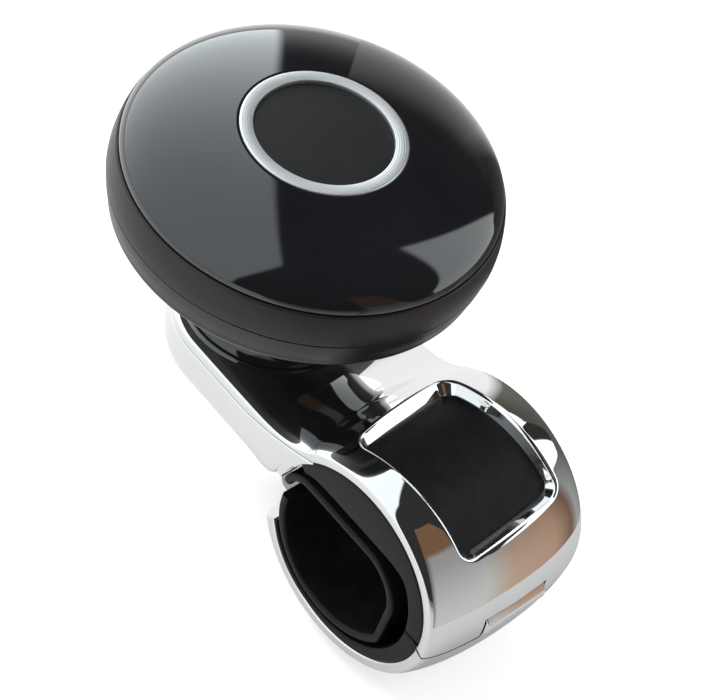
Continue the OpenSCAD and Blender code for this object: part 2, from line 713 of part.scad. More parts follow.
module knob_skirt() {
    color([0.06, 0.06, 0.06]) at_knob() difference() {
        union() {
            rotate_extrude($fn = 144) polygon(concat(
                [[race_ledge_r, knob_bottom_z]], skirt_outline(),
                [[skirt_wall_r, seam_knob_z], [skirt_wall_r, bearing_z],
                 [bearing_r + seat_tube_t, bearing_z], [bearing_r + seat_tube_t, bearing_top_z],
                 [bearing_r + seat_gap, bearing_top_z], [bearing_r + seat_gap, bearing_z],
                 [race_ledge_r, bearing_z]]));
            ring_of(knob_screw_n, knob_screw_at_r) translate([0, 0, bearing_z - eps])
                cylinder(r = 3.4, h = knob_post_z - bearing_z + eps, $fn = 48);
        }
        ring_of(knob_screw_n, knob_screw_at_r) {
            translate([0, 0, knob_bottom_z - 1])
                cylinder(r = screw_head_r + 0.2, h = 1.2 + screw_head_t, $fn = 48);
            translate([0, 0, knob_bottom_z - 1]) cylinder(r = screw_r + 0.2, h = 12, $fn = 32);
        }
    }
}

// Height of the dome at radius r, and of the shell's inner face.
function dome_z(r) = seam_knob_z + 0.2 + dome_h * sqrt(max(0, 1 - pow(r / cap_r, 2)));
disc_seat_z = dome_z(accent_r) - 1.9;
press_tube_r = race_ledge_r - 0.1;
cap_inner_r = spigot_r - cap_t;
cap_roof_h = disc_seat_z - cap_t - seam_knob_z;
function cap_roof_z(r) = seam_knob_z + cap_roof_h * sqrt(max(0, 1 - pow(r / cap_inner_r, 2)));

module knob_cap() {
    dome_n = 24;
    a0 = acos((accent_r + seat_gap) / cap_r);
    color([0.01, 0.01, 0.01]) at_knob() difference() {
        union() {
            rotate_extrude($fn = 144) polygon(concat(
                [[0, disc_seat_z], [accent_r + seat_gap, disc_seat_z]],
                [for (i = [0 : dome_n]) let (r = cap_r * cos(a0 * (1 - i / dome_n))) [r, dome_z(r)]],
                [[cap_seat_r, seam_knob_z + 0.2], [cap_seat_r, seam_knob_z],
                 [spigot_r, seam_knob_z], [spigot_r, seam_knob_z - spigot_h],
                 [cap_inner_r, seam_knob_z - spigot_h]],
                [for (i = [0 : 12]) let (r = cap_inner_r * cos(90 * i / 12)) [r, cap_roof_z(r)]]));
            // tube that holds the bearing's outer ring down
            translate([0, 0, bearing_top_z])
                linear_extrude(disc_seat_z - 1 - bearing_top_z) difference() {
                    circle(bearing_r - 0.1, $fn = 96);
                    circle(press_tube_r, $fn = 96);
                }
            ring_of(knob_screw_n, knob_screw_at_r) translate([0, 0, knob_post_z])
                cylinder(r = 3, h = cap_roof_z(knob_screw_at_r) + 0.8 - knob_post_z, $fn = 48);
        }
        ring_of(knob_screw_n, knob_screw_at_r) translate([0, 0, knob_post_z - 1])
            cylinder(r = screw_r + seat_gap, h = knob_screw_top_z - knob_post_z + 1.3, $fn = 32);
    }
}

// Bright ring set in the cap round the disc.
module accent_ring() {
    inner_r = accent_r - accent_w;
    top = dome_z(accent_r);
    color("silver") at_knob() rotate_extrude($fn = 144) polygon([
        [inner_r, disc_seat_z], [accent_r, disc_seat_z], [accent_r, top],
        [accent_r - 0.25, top + 0.15], [inner_r + 0.45, top + 0.15], [inner_r, top - 0.25]]);
}

// Satin disc in the middle of the cap, a little below the ring and very slightly domed.
disc_gap = 0.05;
module centre_disc() {
    r = accent_r - accent_w - disc_gap;
    top = dome_z(accent_r) - 0.45;
    color([0.02, 0.02, 0.02]) at_knob() rotate_extrude($fn = 96) polygon(concat(
        [[0, disc_seat_z], [r, disc_seat_z]],
        [for (i = [0 : 6]) let (x = r * (1 - i / 6)) [x, top + 0.25 * (1 - pow(x / r, 2))]]));
}

module knob_screws() {
    color("silver") at_knob() ring_of(knob_screw_n, knob_screw_at_r)
        screw(screw_r, screw_head_r, screw_head_t, knob_screw_head_z, knob_screw_top_z);
}

// Deep groove ball bearing
pitch_r = (bearing_bore_r + bearing_r) / 2;
groove_r = ball_r + 0.08;
race_t = (bearing_r - bearing_bore_r) / 2 - ball_r + 0.28;
bearing_mid_z = bearing_z + bearing_w / 2;
module race(r0, r1) {
    rotate_extrude($fn = 96) difference() {
        translate([r0, bearing_z]) square([r1 - r0, bearing_w]);
        translate([pitch_r, bearing_mid_z]) circle(groove_r, $fn = 48);
    }
}
module bearing_inner() { color("silver") at_knob() race(bearing_bore_r, bearing_bore_r + race_t); }
module bearing_outer() { color("silver") at_knob() race(bearing_r - race_t, bearing_r); }
module bearing_balls() {
    color("silver") at_knob() ring_of(ball_n, pitch_r)
        translate([0, 0, bearing_mid_z]) sphere(ball_r, $fn = 48);
}
cage_t = 1.1;
cage_h = 2 * ball_r + 1;
module bearing_cage() {
    color("darkkhaki") at_knob() difference() {
        translate([0, 0, bearing_mid_z - cage_h / 2]) linear_extrude(cage_h) difference() {
            circle(pitch_r + cage_t / 2, $fn = 96);
            circle(pitch_r - cage_t / 2, $fn = 96);
        }
        ring_of(ball_n, pitch_r) translate([0, 0, bearing_mid_z]) rotate([0, 90, 0])
            cylinder(r = ball_r + 0.05, h = 2 * cage_t, center = true, $fn = 48);
    }
}
shield_t = 0.4;
module bearing_shields() {
    r0 = bearing_bore_r + race_t + 0.25;
    r1 = bearing_r - race_t - seat_gap;
    color("dimgray") at_knob() for (z = [bearing_z + 0.2, bearing_top_z - 0.2 - shield_t])
        translate([0, 0, z]) linear_extrude(shield_t) difference() {
            circle(r1, $fn = 96);
            circle(r0, $fn = 96);
        }
}

clamp_body();
arm_cover();
cover_screws();
inner_band();
upper_liner();
neck_collar();
spindle();
spindle_washer();
spindle_nut();
clamp_nut();
hinge_pin();
bearing_inner();
bearing_spacer();
lock_nut();
jaw_shell();
jaw_band();
jaw_liner();
adaptor_sleeve();
clamp_bolt();
bolt_clip();
knob_cap();
knob_skirt();
accent_ring();
centre_disc();
knob_screws();
bearing_outer();
bearing_balls();
bearing_cage();
bearing_shields();
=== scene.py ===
import json
import math

import bmesh
import bpy
import numpy as np
from mathutils import Matrix


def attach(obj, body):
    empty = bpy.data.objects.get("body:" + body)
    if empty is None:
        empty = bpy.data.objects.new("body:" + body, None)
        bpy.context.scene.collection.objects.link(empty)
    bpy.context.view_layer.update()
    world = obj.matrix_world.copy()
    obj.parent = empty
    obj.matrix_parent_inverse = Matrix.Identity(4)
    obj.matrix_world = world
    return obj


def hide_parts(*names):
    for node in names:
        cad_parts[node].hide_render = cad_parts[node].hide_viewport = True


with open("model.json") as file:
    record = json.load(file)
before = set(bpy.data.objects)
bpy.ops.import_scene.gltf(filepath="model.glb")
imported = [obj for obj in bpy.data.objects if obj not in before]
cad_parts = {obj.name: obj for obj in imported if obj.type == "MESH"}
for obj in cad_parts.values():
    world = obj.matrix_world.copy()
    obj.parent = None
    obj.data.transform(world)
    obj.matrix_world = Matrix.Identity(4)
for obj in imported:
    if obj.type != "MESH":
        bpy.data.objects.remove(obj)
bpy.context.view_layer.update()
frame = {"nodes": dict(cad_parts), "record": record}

# Looks of the steering wheel spinner knob, drawn round the solids of the CAD.
# Lengths are in millimetres and angles in degrees, as in the part's source. Y is the ring's axis,
# Z points up to the knob, and angles in the XZ plane count from +X towards +Z.
MM = 0.001

# Clamp ring
SEAT_R = 16.1               # bore of the chrome shell
BAND_R = 17.6               # outside of the black band under the shell
SHELL_R = 20.1              # outside of the shell, at the middle of the barrel
HALF = 15.6                 # half the ring's length, and half the arm's width
RING_CROWN = 2.5            # drop of the barrel's skin at its ends
RING_EDGE = 0.69            # share of the half width over which the edge rounds off
RING_ARCH = 0.6             # share of the drop that arches over the whole width
BORE_EDGE = 0.35            # rounding between the end faces and the bore
BORE_SHOWN = 2.2            # stretch of the bore that is drawn with the end faces
JAW_END = -155.0            # free end of the jaw
MOUTH = 171.0               # lip of the cover above the mouth

# Arm and its cover
KNOB_X = -39.0
ARM_TOP = 10.0
ARM_CROWN, ARM_EDGE, ARM_ARCH = 1.2, 0.26, 0.25
BLEND_R = 16.0              # hollow between the arm and the ring
SEAM_Z = 7.4
SEAM_RISE_X = KNOB_X + 12   # the seam climbs to the ring's bore from here
SEAM_GAP = 0.22
COVER_Z = -2.4
COVER_EDGE = 5.2            # rounding of the cover's lower edge under the arm
LIP_EDGE = 0.5              # the same at the mouth
LIP_BACK = (1.6, 0.4)       # where the lip's underside begins, back from and under the mouth
LIP_RUN = 5.0               # length over which the underside drops from the lip
SCREWS = [(KNOB_X - 10.6, 0.0), (KNOB_X + 6.0, 9.4), (KNOB_X + 6.0, -9.4)]
SCREW_HOLE_R, SCREW_HOLE_H = 2.8, 1.8
BOLT_X = -22.5
BOLT_HOLE_R, BOLT_HOLE_H = 2.5, 8.5

# Window in the ring
WINDOW = (45.2, 119.8)
WINDOW_HALF_W = 10.0
WINDOW_CORNER = 2.4
WINDOW_TURN = 5.5
WINDOW_Y = -0.3
BEVEL_R = 0.5               # round bevel at the window's edge
BEVEL_FLARE = 0.12
WALL_DEPTH = 2.2            # the window's wall slopes inwards down to here
WALL_SLOPE = 0.7
WALL_SUNK = 0.3             # the wall's foot lies this far under the band's skin

# Hinge of the jaw
HINGE = (18.0, 1.2)
KNUCKLE_R = 2.6
KNUCKLE_HALF = 6.0
KNUCKLE_EDGE = 0.3
KNUCKLE_LAP = 1.5           # the jaw's skin runs this far on into the knuckle, in degrees
RUN_GAP = 0.3
EAR_FACES = (0.0, 0.45)     # between these angles the end faces step from the hinge to the bore
HINGE_CLEAR = 0.02          # the end faces begin this far past the hinge's circle, in degrees
JAW_SPLIT = -8.0            # the jaw's even skin ends here, short of the hinge
JAW_TONGUE = -0.42          # upper end of the jaw's end faces
INSIDE = -200.0             # direction from the hinge in which its arcs end, inside the shell

# Lug of the jaw, for the clamp bolt
LUG_HALF_W = 5.5
LUG_Z = (-10.0, -6.0)
LUG_EDGE = 0.5
LUG_HOLE_R = 2.2
LUG_ROOT_X = -SEAT_R * 0.92   # its square end, sunk into the jaw

# Rubber liner and sleeve
LINER_UPPER, LINER_LOWER = (0.6, 146.0), (JAW_END, -0.6)
LINER_C = (-1.0, -0.7)
LINER_BORE = 14.2
LINER_ROOF = 9.2
LINER_POWER = 14.0          # softness of the corner between the bore and the flat roof
LINER_GAP = 0.02            # between the liner and the chrome's bore
LINER_LEAST = 0.04          # thickness that the liner keeps everywhere
LINER_EDGE = 0.35
SLEEVE_C = (-1.35, -1.05)
SLEEVE_R = 12.0
SLEEVE_T = 1.4
SLEEVE_ROOF = 5.7
SLEEVE_CORNERS = ((2.4, 6.5), (-10.6, 3.4))   # (x, radius) of the roof's two corners
SLEEVE_EDGE = 0.5

# Knob and neck, turned about the knob's axis
KNOB_R = 29.0
KNOB_Z = 28.5
SKIRT_H = 11.2
SKIRT_BORE = 9.4
SKIRT_FLOOR = 2.2
SKIRT_EDGE = 1.9            # rounding of the lower edge, which lies in from the rim
SKIRT_EDGE_IN = 0.85
CREASE_Z = KNOB_Z + 0.52 * SKIRT_H
CAP_R = KNOB_R - 1.1
CAP_Z = KNOB_Z + SKIRT_H    # seam between the skirt and the cap
DOME_Z = CAP_Z + 0.2
DOME_H = 7.1
ACCENT_R = 12.1
ACCENT_W = 1.95
ACCENT_H = 1.9
ACCENT_EDGE = 0.2
DISC_SUNK = 0.45
DISC_DOME = 0.25
NECK_R = 12.6
NECK_BORE = 7.4
NECK_TOP = KNOB_Z - 0.45
NECK_EDGE = 0.6
FOOT_R = 14.3
FOOT_Z = 8.9
FOOT_FILLET = 5.0

QUARTER = (22.5, 45, 67.5, 90)
TINY = 1e-6


# Curves and meshes

def cosd(a):
    return np.cos(np.radians(a))


def sind(a):
    return np.sin(np.radians(a))


def mix(a, b, share):
    return a + (b - a) * share


def smooth(t):
    return t * t * (3 - 2 * t)


def corner(cx, cz, r, a0, a1, n=6):
    """Arc in n steps."""
    return [(cx + r * cosd(a), cz + r * sind(a)) for a in np.linspace(a0, a1, n + 1)]


def smooth_curve(points, per=6):
    """Catmull-Rom curve through points."""
    p = np.asarray(points, float)
    p = np.vstack([2 * p[0] - p[1], p, 2 * p[-1] - p[-2]])
    out = []
    for i in range(1, len(p) - 2):
        for t in np.linspace(0, 1, per, endpoint=False):
            out.append(0.5 * (2 * p[i] + (p[i + 1] - p[i - 1]) * t
                              + (2 * p[i - 1] - 5 * p[i] + 4 * p[i + 1] - p[i + 2]) * t ** 2
                              + (3 * p[i] - p[i - 1] - 3 * p[i + 1] + p[i + 2]) * t ** 3))
    out.append(p[-2])
    return out


def revolve(profile, steps=180, a0=0.0, a1=360.0):
    """Rows of a surface turned about the knob's axis from (radius, height) points."""
    return [[(KNOB_X + r * cosd(a), r * sind(a), z) for r, z in profile]
            for a in np.linspace(a0, a1, steps + 1)]


class Skin:
    """Patches of one surface, gathered into one mesh."""

    def __init__(self):
        self.verts = []
        self.faces = []

    def grid(self, rows, flip=False, closed=False):
        """Faces between equal rows of points. closed joins each row's end to its start."""
        rows = [np.asarray(r, float).reshape(-1, 3) for r in rows]
        n = len(rows[0])
        base = len(self.verts)
        for r in rows:
            self.verts.extend(r)
        for i in range(len(rows) - 1):
            here, above = base + i * n, base + (i + 1) * n
            for j in range(n if closed else n - 1):
                k = (j + 1) % n
                f = [here + j, here + k, above + k, above + j]
                self.faces.append(f[::-1] if flip else f)

    def fill(self, loop, flip=False):
        """Closes a loop that comes back beside itself, from side to side."""
        n = len(loop) // 2
        self.grid([loop[:n], loop[::-1][:n]], flip=flip)

    def face(self, points):
        base = len(self.verts)
        self.verts.extend(np.asarray(points, float).reshape(-1, 3))
        self.faces.append(list(range(base, base + len(points))))

    def piece(self, name, body, slot, nodes=(), sharp=30):
        """Makes the object, smooth but for edges over the angle sharp, in place of the nodes."""
        mesh = bpy.data.meshes.new(name)
        mesh.from_pydata([tuple(v * MM) for v in self.verts], [], self.faces)
        bm = bmesh.new()
        bm.from_mesh(mesh)
        bmesh.ops.remove_doubles(bm, verts=bm.verts, dist=0.004 * MM)
        bmesh.ops.dissolve_degenerate(bm, edges=bm.edges, dist=0.001 * MM)
        bmesh.ops.recalc_face_normals(bm, faces=bm.faces)
        bm.to_mesh(mesh)
        bm.free()
        mesh.shade_smooth()
        mesh.set_sharp_from_angle(angle=math.radians(sharp))
        obj = bpy.data.objects.new(name, mesh)
        bpy.context.scene.collection.objects.link(obj)
        mesh.materials.append(MATERIALS[slot])
        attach(obj, body)
        if nodes:
            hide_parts(*nodes)
        return obj


def cut_holes(obj, holes):
    """Cuts round holes, given as (x, y, z0, z1, radius), out of a closed piece."""
    bm = bmesh.new()
    for x, y, z0, z1, r in holes:
        move = Matrix.Translation((x * MM, y * MM, (z0 + z1) / 2 * MM))
        bmesh.ops.create_cone(bm, cap_ends=True, segments=48, radius1=r * MM, radius2=r * MM,
                              depth=(z1 - z0) * MM, matrix=move)
    mesh = bpy.data.meshes.new("cutter")
    bm.to_mesh(mesh)
    bm.free()
    cutter = bpy.data.objects.new("cutter", mesh)
    bpy.context.scene.collection.objects.link(cutter)
    mod = obj.modifiers.new("holes", "BOOLEAN")
    mod.object = cutter
    mod.operation = "DIFFERENCE"
    mod.solver = "EXACT"
    graph = bpy.context.evaluated_depsgraph_get()
    done = bpy.data.meshes.new_from_object(obj.evaluated_get(graph))
    obj.modifiers.clear()
    obj.data = done
    bpy.data.objects.remove(cutter)


# Materials

class Tree:
    """Short ways to add nodes to one material or world."""

    def __init__(self, tree):
        self.tree = tree
        tree.nodes.clear()

    def node(self, kind, **settings):
        n = self.tree.nodes.new(kind)
        for key, value in settings.items():
            setattr(n, key, value)
        return n

    def put(self, value, socket):
        if isinstance(value, (int, float, tuple)):
            socket.default_value = value
        else:
            self.tree.links.new(value, socket)

    def math(self, op, a, b=0.0):
        n = self.node("ShaderNodeMath", operation=op)
        self.put(a, n.inputs[0])
        self.put(b, n.inputs[1])
        return n.outputs[0]

    def times(self, a, b):
        return self.math("MULTIPLY", a, b)

    def plus(self, a, b):
        return self.math("ADD", a, b)

    def ramp(self, value, low, high, start=0.0, end=1.0):
        """Smooth change from start at low to end at high."""
        n = self.node("ShaderNodeMapRange", interpolation_type="SMOOTHSTEP")
        self.put(value, n.inputs["Value"])
        for name, v in (("From Min", low), ("From Max", high), ("To Min", start), ("To Max", end)):
            n.inputs[name].default_value = v
        return n.outputs["Result"]

    def tint(self, mask, below, colour):
        """Colour laid over what is below, as far as the mask says."""
        n = self.node("ShaderNodeMix", data_type="RGBA")
        self.put(mask, n.inputs["Factor"])
        self.put(below, n.inputs["A"])
        self.put(colour, n.inputs["B"])
        return n.outputs["Result"]

    def axes(self, coordinate):
        split = self.node("ShaderNodeSeparateXYZ")
        self.put(self.node("ShaderNodeTexCoord").outputs[coordinate], split.inputs[0])
        return split.outputs

    def beside(self, x, y, azimuth):
        """How far a point lies to the left of the upright plane through Z at an azimuth."""
        turn = math.radians(azimuth)
        return self.plus(self.times(x, -math.sin(turn)), self.times(y, math.cos(turn)))

    def emission(self, colour, strength=1.0):
        glow = self.node("ShaderNodeEmission")
        self.put(colour, glow.inputs["Color"])
        self.put(strength, glow.inputs["Strength"])
        return glow.outputs[0]

    def noise(self, place, scale, detail):
        n = self.node("ShaderNodeTexNoise")
        n.inputs["Scale"].default_value = scale
        n.inputs["Detail"].default_value = detail
        self.put(place, n.inputs["Vector"])
        return n.outputs["Fac"]


def turning_lines(tree, place):
    """Height of fine turning lines round the knob's axis."""
    shift = tree.node("ShaderNodeMapping")
    shift.inputs["Location"].default_value = (-KNOB_X * MM, 0, 0)
    tree.put(place, shift.inputs["Vector"])
    wave = tree.node("ShaderNodeTexWave", wave_type="RINGS", rings_direction="Z")
    wave.inputs["Scale"].default_value = 900.0
    wave.inputs["Distortion"].default_value = 1.5
    wave.inputs["Detail"].default_value = 2.0
    tree.put(shift.outputs["Vector"], wave.inputs["Vector"])
    return wave.outputs["Fac"]


def material(name, base, tone, rough, play, scale, metallic=0.0, specular=0.5, coat=0.0,
             coat_rough=0.03, bump=0.0, grain=0.0, turned=False):
    """A shader whose colour wanders between base and tone, and its roughness by play.
    bump is the strength of its grain, or of turning lines."""
    mat = bpy.data.materials.new(name)
    mat.use_nodes = True
    tree = Tree(mat.node_tree)
    shader = tree.node("ShaderNodeBsdfPrincipled")
    tree.put(shader.outputs[0], tree.node("ShaderNodeOutputMaterial").inputs["Surface"])
    place = tree.node("ShaderNodeTexCoord").outputs["Object"]
    wander = tree.noise(place, scale, 4.0)
    colours = tree.node("ShaderNodeValToRGB")
    for stop, at, colour in zip(colours.color_ramp.elements, (0.3, 0.7), (base, tone)):
        stop.position = at
        stop.color = (*colour, 1)
    tree.put(wander, colours.inputs["Fac"])
    tree.put(colours.outputs["Color"], shader.inputs["Base Color"])
    roughness = tree.node("ShaderNodeMapRange")
    roughness.inputs["To Min"].default_value = rough - play
    roughness.inputs["To Max"].default_value = rough + play
    tree.put(wander, roughness.inputs["Value"])
    tree.put(roughness.outputs["Result"], shader.inputs["Roughness"])
    shader.inputs["Metallic"].default_value = metallic
    shader.inputs["Specular IOR Level"].default_value = specular
    shader.inputs["Coat Weight"].default_value = coat
    shader.inputs["Coat Roughness"].default_value = coat_rough
    if bump:
        bend = tree.node("ShaderNodeBump")
        bend.inputs["Strength"].default_value = bump
        bend.inputs["Distance"].default_value = 0.0001
        height = turning_lines(tree, place) if turned else tree.noise(place, grain, 3.0)
        tree.put(height, bend.inputs["Height"])
        tree.put(bend.outputs["Normal"], shader.inputs["Normal"])
    return mat


LOOKS = {
    "chrome": dict(base=(0.90, 0.905, 0.91), tone=(0.86, 0.865, 0.87), metallic=1.0,
                   rough=0.035, play=0.015, scale=60.0),
    "gloss_black": dict(base=(0.006, 0.006, 0.008), tone=(0.009, 0.009, 0.011),
                        rough=0.06, play=0.02, scale=80.0, coat=1.0, coat_rough=0.015),
    "satin_black": dict(base=(0.010, 0.010, 0.011), tone=(0.014, 0.014, 0.015), specular=0.4,
                        rough=0.34, play=0.05, scale=400.0, bump=0.25, grain=9000.0),
    "disc_black": dict(base=(0.007, 0.007, 0.008), tone=(0.010, 0.010, 0.011), specular=0.3,
                       rough=0.5, play=0.05, scale=500.0, bump=0.3, grain=8000.0),
    "accent": dict(base=(0.94, 0.95, 0.95), tone=(0.90, 0.91, 0.91), metallic=1.0,
                   rough=0.46, play=0.05, scale=300.0, bump=0.15, turned=True),
    "rubber": dict(base=(0.004, 0.004, 0.005), tone=(0.008, 0.008, 0.009), specular=0.2,
                   rough=0.42, play=0.06, scale=350.0, bump=0.25, grain=7000.0),
    "band_black": dict(base=(0.004, 0.004, 0.005), tone=(0.008, 0.008, 0.009), specular=0.25,
                       rough=0.5, play=0.05, scale=450.0, bump=0.3, grain=6000.0),
    "steel": dict(base=(0.56, 0.56, 0.57), tone=(0.48, 0.48, 0.49), metallic=1.0,
                  rough=0.28, play=0.06, scale=500.0, bump=0.1, grain=4000.0),
    "bearing_steel": dict(base=(0.66, 0.66, 0.67), tone=(0.58, 0.58, 0.59), metallic=1.0,
                          rough=0.18, play=0.04, scale=500.0),
    "brass_cage": dict(base=(0.70, 0.52, 0.25), tone=(0.60, 0.43, 0.19), metallic=1.0,
                       rough=0.3, play=0.06, scale=600.0),
}
MATERIALS = {name: material(name, **look) for name, look in LOOKS.items()}
for sub in frame["record"]["subparts"]:
    mesh = frame["nodes"][sub["node"]].data
    mesh.materials.clear()
    mesh.materials.append(MATERIALS[sub["material_slot"]])


# Skin of the ring and arm

BLEND_X = -math.sqrt((SHELL_R + BLEND_R) ** 2 - (ARM_TOP + BLEND_R) ** 2)
BLEND_A = math.degrees(math.atan2(ARM_TOP + BLEND_R, BLEND_X))
JOIN = (SEAT_R * cosd(BLEND_A), SEAT_R * sind(BLEND_A))   # the seam's end at the bore


def across(lines=()):
    """Stations along Y, closer together at the rounded edges. One falls on each line on both
    sides, and none lies close beside it."""
    ys = HALF * np.sin(np.linspace(-math.pi / 2, math.pi / 2, 61))
    ys = [y for y in ys if all(abs(abs(y) - line) > 0.12 for line in lines)]
    return np.array(sorted(ys + [side * line for line in lines for side in (-1, 1)]))


YS = across((KNUCKLE_HALF, KNUCKLE_HALF + RUN_GAP))


def crown(t, m):
    """Drop of the crowned skin at a share t of its half width, m from 0 on the arm to 1 on the
    ring."""
    t = np.abs(t)
    edge, arch = mix(ARM_EDGE, RING_EDGE, m), mix(ARM_ARCH, RING_ARCH, m)
    e = np.clip((t - 1 + edge) / edge, 0, 1)
    drop = mix(ARM_CROWN, RING_CROWN, m)
    return drop * (arch * t * t + (1 - arch) * (1 - np.sqrt(np.clip(1 - e * e, 0, 1))))


def skin_r(y):
    return SHELL_R - float(crown(y / HALF, 1))


def polar(r, a, y):
    return (r * cosd(a), y, r * sind(a))


def ring_point(a, y, depth=0.0):
    return polar(skin_r(y) - depth, a, y)


def hollow_point(t, y):
    """Point on the hollow at a share t of the way from the arm to the ring."""
    a = -90 + (BLEND_A - 90) * t
    r = BLEND_R + crown(y / HALF, smooth(t))
    return (BLEND_X + r * cosd(a), y, ARM_TOP + BLEND_R + r * sind(a))


def seam(x):
    """Height of the seam between arm and cover."""
    u = np.clip((x - SEAM_RISE_X) / (JOIN[0] - SEAM_RISE_X), 0, None)
    return float(SEAM_Z + (JOIN[1] - SEAM_Z) * u ** 1.6)


def end_rows(skin, angles, r_out, r_in):
    """The ring's flat end faces, with a rounded edge into the bore."""
    for side in (-1, 1):
        rows = []
        for a in angles:
            inner = r_in(a)
            outer = max(r_out(a), inner)
            e = min(BORE_EDGE, 0.5 * (outer - inner))
            pts = [(r, HALF) for r in np.linspace(outer, inner + e, 4)]
            pts += [(inner + e * (1 - sind(b)), HALF - e * (1 - cosd(b))) for b in QUARTER]
            pts += [(inner, HALF - BORE_SHOWN)]
            rows.append([polar(r, a, side * y) for r, y in pts])
        skin.grid(rows, flip=side > 0)


# Hinge, seen along Y

HINGE_R = math.hypot(*HINGE)
HINGE_A = math.degrees(math.atan2(HINGE[1], HINGE[0]))


def hinge_angle(r, k, side):
    """Angle on a circle of radius r where it meets the circle of radius k about the hinge."""
    c = (r * r + HINGE_R ** 2 - k * k) / (2 * r * HINGE_R)
    return HINGE_A + side * math.degrees(math.acos(min(1, c)))


def hinge_bearing(r, k, side):
    """Direction from the hinge to that point."""
    a = hinge_angle(r, k, side)
    return math.degrees(math.atan2(r * sind(a) - HINGE[1], r * cosd(a) - HINGE[0]))


def hinge_cut(a, k):
    """Radius at which a ray at angle a enters the circle of radius k about the hinge."""
    d = math.radians(a - HINGE_A)
    q = k * k - (HINGE_R * math.sin(d)) ** 2
    return HINGE_R * math.cos(d) - math.sqrt(q) if q > 0 else math.inf


def round_hinge(y, k, a_start, a_end):
    return [(x, y, z) for x, z in corner(*HINGE, k, a_start, a_end, 13)]


def down_to_hinge(y, start, k, steps):
    """Row on the skin from the angle start to the circle of radius k, and on along it."""
    end = hinge_angle(skin_r(y), k, -1)
    row = [ring_point(mix(start, end, g), y) for g in np.linspace(0, 1, steps)]
    return row + round_hinge(y, k, hinge_bearing(skin_r(y), k, -1), INSIDE)[1:]


# Chrome arm and upper half of the ring

SLOT_TOP = hinge_angle(SHELL_R, KNUCKLE_R + RUN_GAP, 1)
S_UNIT = SHELL_R * math.pi / 180                     # length on the skin of one degree
S_MID = (WINDOW[0] + WINDOW[1]) / 2 * S_UNIT
S_HALF = (WINDOW[1] - WINDOW[0]) / 2 * S_UNIT
BEVEL = [(BEVEL_R * (1 - math.sin(b)) + BEVEL_FLARE * math.cos(b), BEVEL_R * (1 - math.cos(b)))
         for b in np.linspace(0, math.pi / 2, 8)]    # (growth of the window, depth)


def rounded_side(side, shares, grow):
    """Points on one side of the window's outline, from the middle of one corner to the next.
    side 0 is +s, 1 is +y, 2 is -s and 3 is -y, with s along the skin round the ring."""
    half_s, half_y, r = S_HALF + grow, WINDOW_HALF_W + grow, WINDOW_CORNER + grow
    along, out = (half_y, half_s) if side in (0, 2) else (half_s, half_y)
    arc = math.pi / 4 * r
    total = 2 * arc + 2 * (along - r)
    c, d = float(cosd(WINDOW_TURN)), float(sind(WINDOW_TURN))
    pts = []
    for q in np.asarray(shares) * total:
        if q < arc:
            b = -math.pi / 4 + q / r
            u, v = out - r + r * math.cos(b), r - along + r * math.sin(b)
        elif q <= total - arc:
            u, v = out, r - along + q - arc
        else:
            b = (q - (total - arc)) / r
            u, v = out - r + r * math.cos(b), along - r + r * math.sin(b)
        sign = 1 if side in (0, 1) else -1
        s, y = (sign * u, v) if side in (0, 2) else (v, sign * u)
        pts.append((s * c + y * d, y * c - s * d + WINDOW_Y))
    return pts


def window_loop(side, shares, grow, depth):
    """The window's outline, grown, at a depth under the skin."""
    return [ring_point((S_MID + s) / S_UNIT, y, depth) for s, y in rounded_side(side, shares, grow)]


def window_foot(side, shares, grow):
    """The same on the band, where the wall ends."""
    return [polar(BAND_R - WALL_SUNK, (S_MID + s) / S_UNIT, y)
            for s, y in rounded_side(side, shares, grow)]


def arm_top(skin, xs, ts):
    """Flat stretch, hollow up to the ring, and round end about the knob's axis."""
    rows = [[(x, y, ARM_TOP - crown(y / HALF, 0)) for y in YS] for x in xs]
    rows += [[hollow_point(t, y) for y in YS] for t in ts]
    skin.grid(rows)
    reach = [y for y in YS if y >= -TINY]
    skin.grid([[(KNOB_X + r * cosd(a), r * sind(a), ARM_TOP - crown(r / HALF, 0)) for r in reach]
               for a in np.linspace(90, 270, 61)], flip=True)


def ring_round_window(skin):
    """Skin from the window's bevel out to the stretch's borders, then the window's wall."""
    low, high = SLOT_TOP * S_UNIT - S_MID, BLEND_A * S_UNIT - S_MID
    ways = [math.sin(math.pi / 2 * w) for w in np.linspace(0, 1, 41)]
    for side in range(4):
        shares = (YS / HALF + 1) / 2 if side in (0, 2) else np.linspace(0, 1, 81)
        rows = []
        for (s0, y0), q in zip(rounded_side(side, shares, BEVEL[0][0]), shares):
            if side in (0, 2):
                s1, y1 = (high, low)[side // 2], HALF * (2 * q - 1)
            else:
                s1, y1 = mix(low, high, q), (HALF, -HALF)[side // 2]
            rows.append([ring_point((S_MID + mix(s0, s1, w)) / S_UNIT, mix(y0, y1, w))
                         for w in ways])
        skin.grid(rows, flip=side in (1, 2))
        loops = [window_loop(side, shares, grow, depth) for grow, depth in BEVEL]
        loops += [window_loop(side, shares, -WALL_SLOPE * q, mix(BEVEL_R, WALL_DEPTH, q))
                  for q in np.linspace(0.2, 1, 5)]
        loops.append(window_foot(side, shares, -WALL_SLOPE))
        skin.grid(loops, flip=side in (1, 2))


